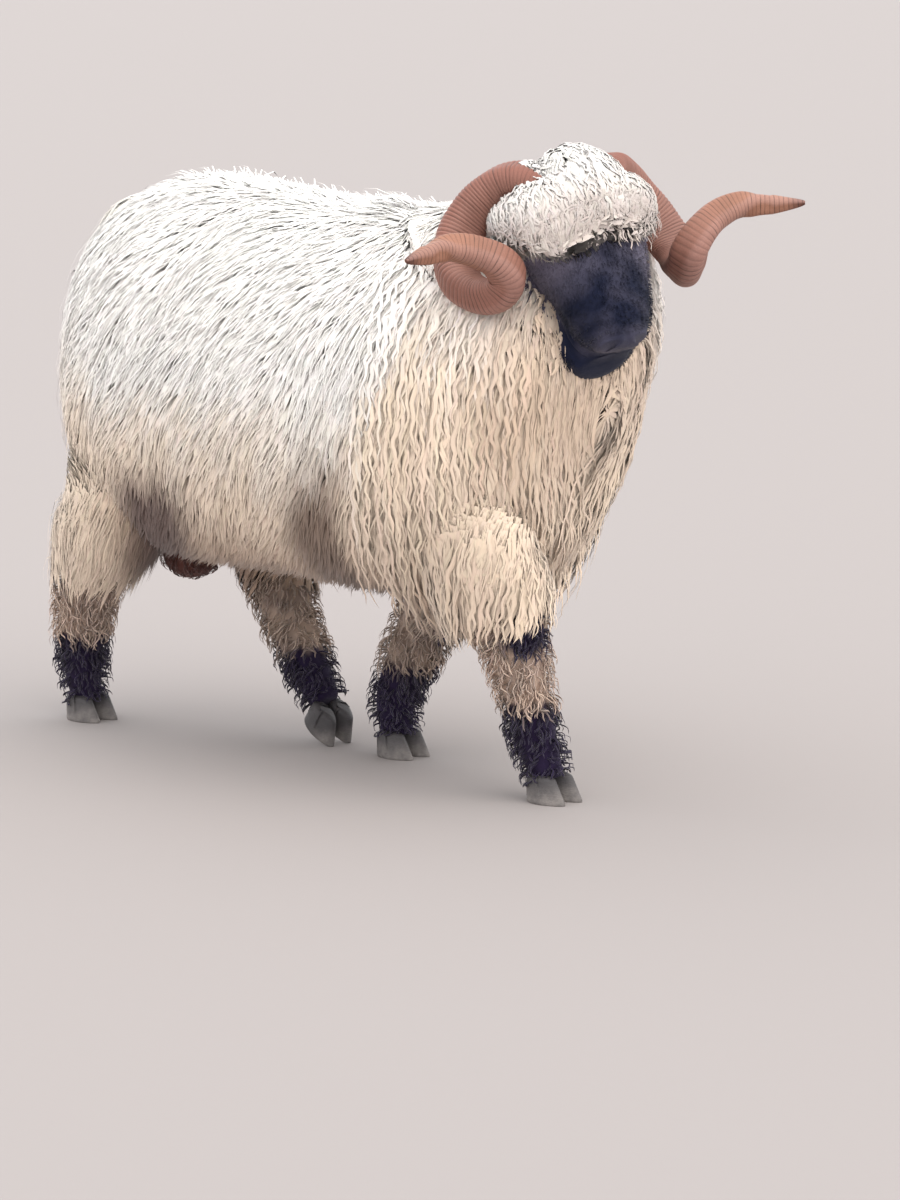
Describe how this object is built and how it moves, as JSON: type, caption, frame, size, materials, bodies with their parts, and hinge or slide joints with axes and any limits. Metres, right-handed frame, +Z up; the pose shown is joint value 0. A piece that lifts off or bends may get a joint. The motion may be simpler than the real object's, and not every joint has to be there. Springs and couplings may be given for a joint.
{
  "type": "valais blacknose ram",
  "caption": "Still life-size model of a horned, long-woolled ram in mid stride, head turned to its right, standing on its claws.",
  "frame": {"origin": "on the floor, under the centre of the animal's bounding box", "axes": "+Z up, +X to the animal's left, and the animal walks towards -Y"},
  "size_m": [0.6086, 1.2418, 0.9337],
  "materials": {
    "fleece": "long curly white to cream wool in hanging locks, greyer and browner below",
    "dark_wool": "short brown wool",
    "face": "short dense blue-black wool and hair, cream locks over the brow",
    "leg_wool": "dusty brown-cream wool with black knees, hocks and socks",
    "horn": "ringed pinkish brown horn, smoother and paler at the tips",
    "claw": "dusty grey-black horn",
    "eye": "wet amber with a level dark pupil"
  },
  "bodies": {
    "root": {"torso": "fleece", "neck": "fleece", "tail": "fleece", "scrotum": "dark_wool", "head": "face", "ear_left": "face", "ear_right": "face", "eye_left": "eye", "eye_right": "eye", "horn_left": "horn", "horn_right": "horn", "front_left_leg": "leg_wool", "front_right_leg": "leg_wool", "hind_left_leg": "leg_wool", "hind_right_leg": "leg_wool", "claw_front_left_left": "claw", "claw_front_left_right": "claw", "claw_front_right_left": "claw", "claw_front_right_right": "claw", "claw_hind_left_left": "claw", "claw_hind_left_right": "claw", "claw_hind_right_left": "claw", "claw_hind_right_right": "claw"}
  },
  "joints": []
}
